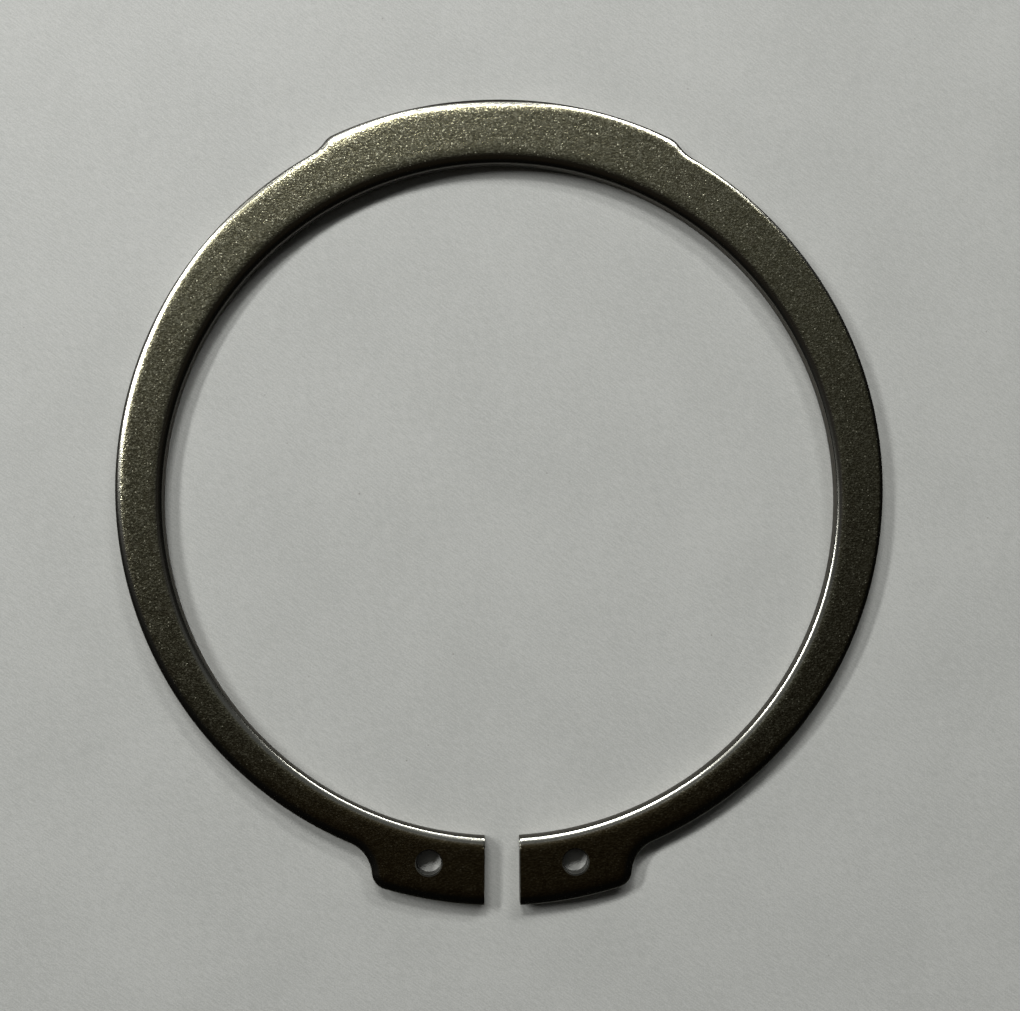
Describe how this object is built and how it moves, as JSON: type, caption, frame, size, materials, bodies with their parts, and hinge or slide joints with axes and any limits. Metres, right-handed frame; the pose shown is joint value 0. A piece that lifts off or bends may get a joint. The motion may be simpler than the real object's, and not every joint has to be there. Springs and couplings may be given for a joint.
{
  "type": "external retaining ring",
  "caption": "Flat open spring steel ring that snaps into a shaft groove, with tapering arms, a stepped thick section and drilled plier lugs.",
  "frame": {"origin": "on the ring's axis, at the plane of its flat underside", "axes": "+Z is the ring's axis and points to the side with the rolled edges; +Y points from the gap to the thick section; +X completes the right-hand frame"},
  "size_m": [0.1076, 0.1129, 0.003],
  "materials": {
    "ring_steel": "dark phosphate coat with a thin oil film, fine grain on the flats and smooth rolled edges"
  },
  "bodies": {
    "root": {"retaining_ring": "ring_steel"}
  },
  "joints": []
}
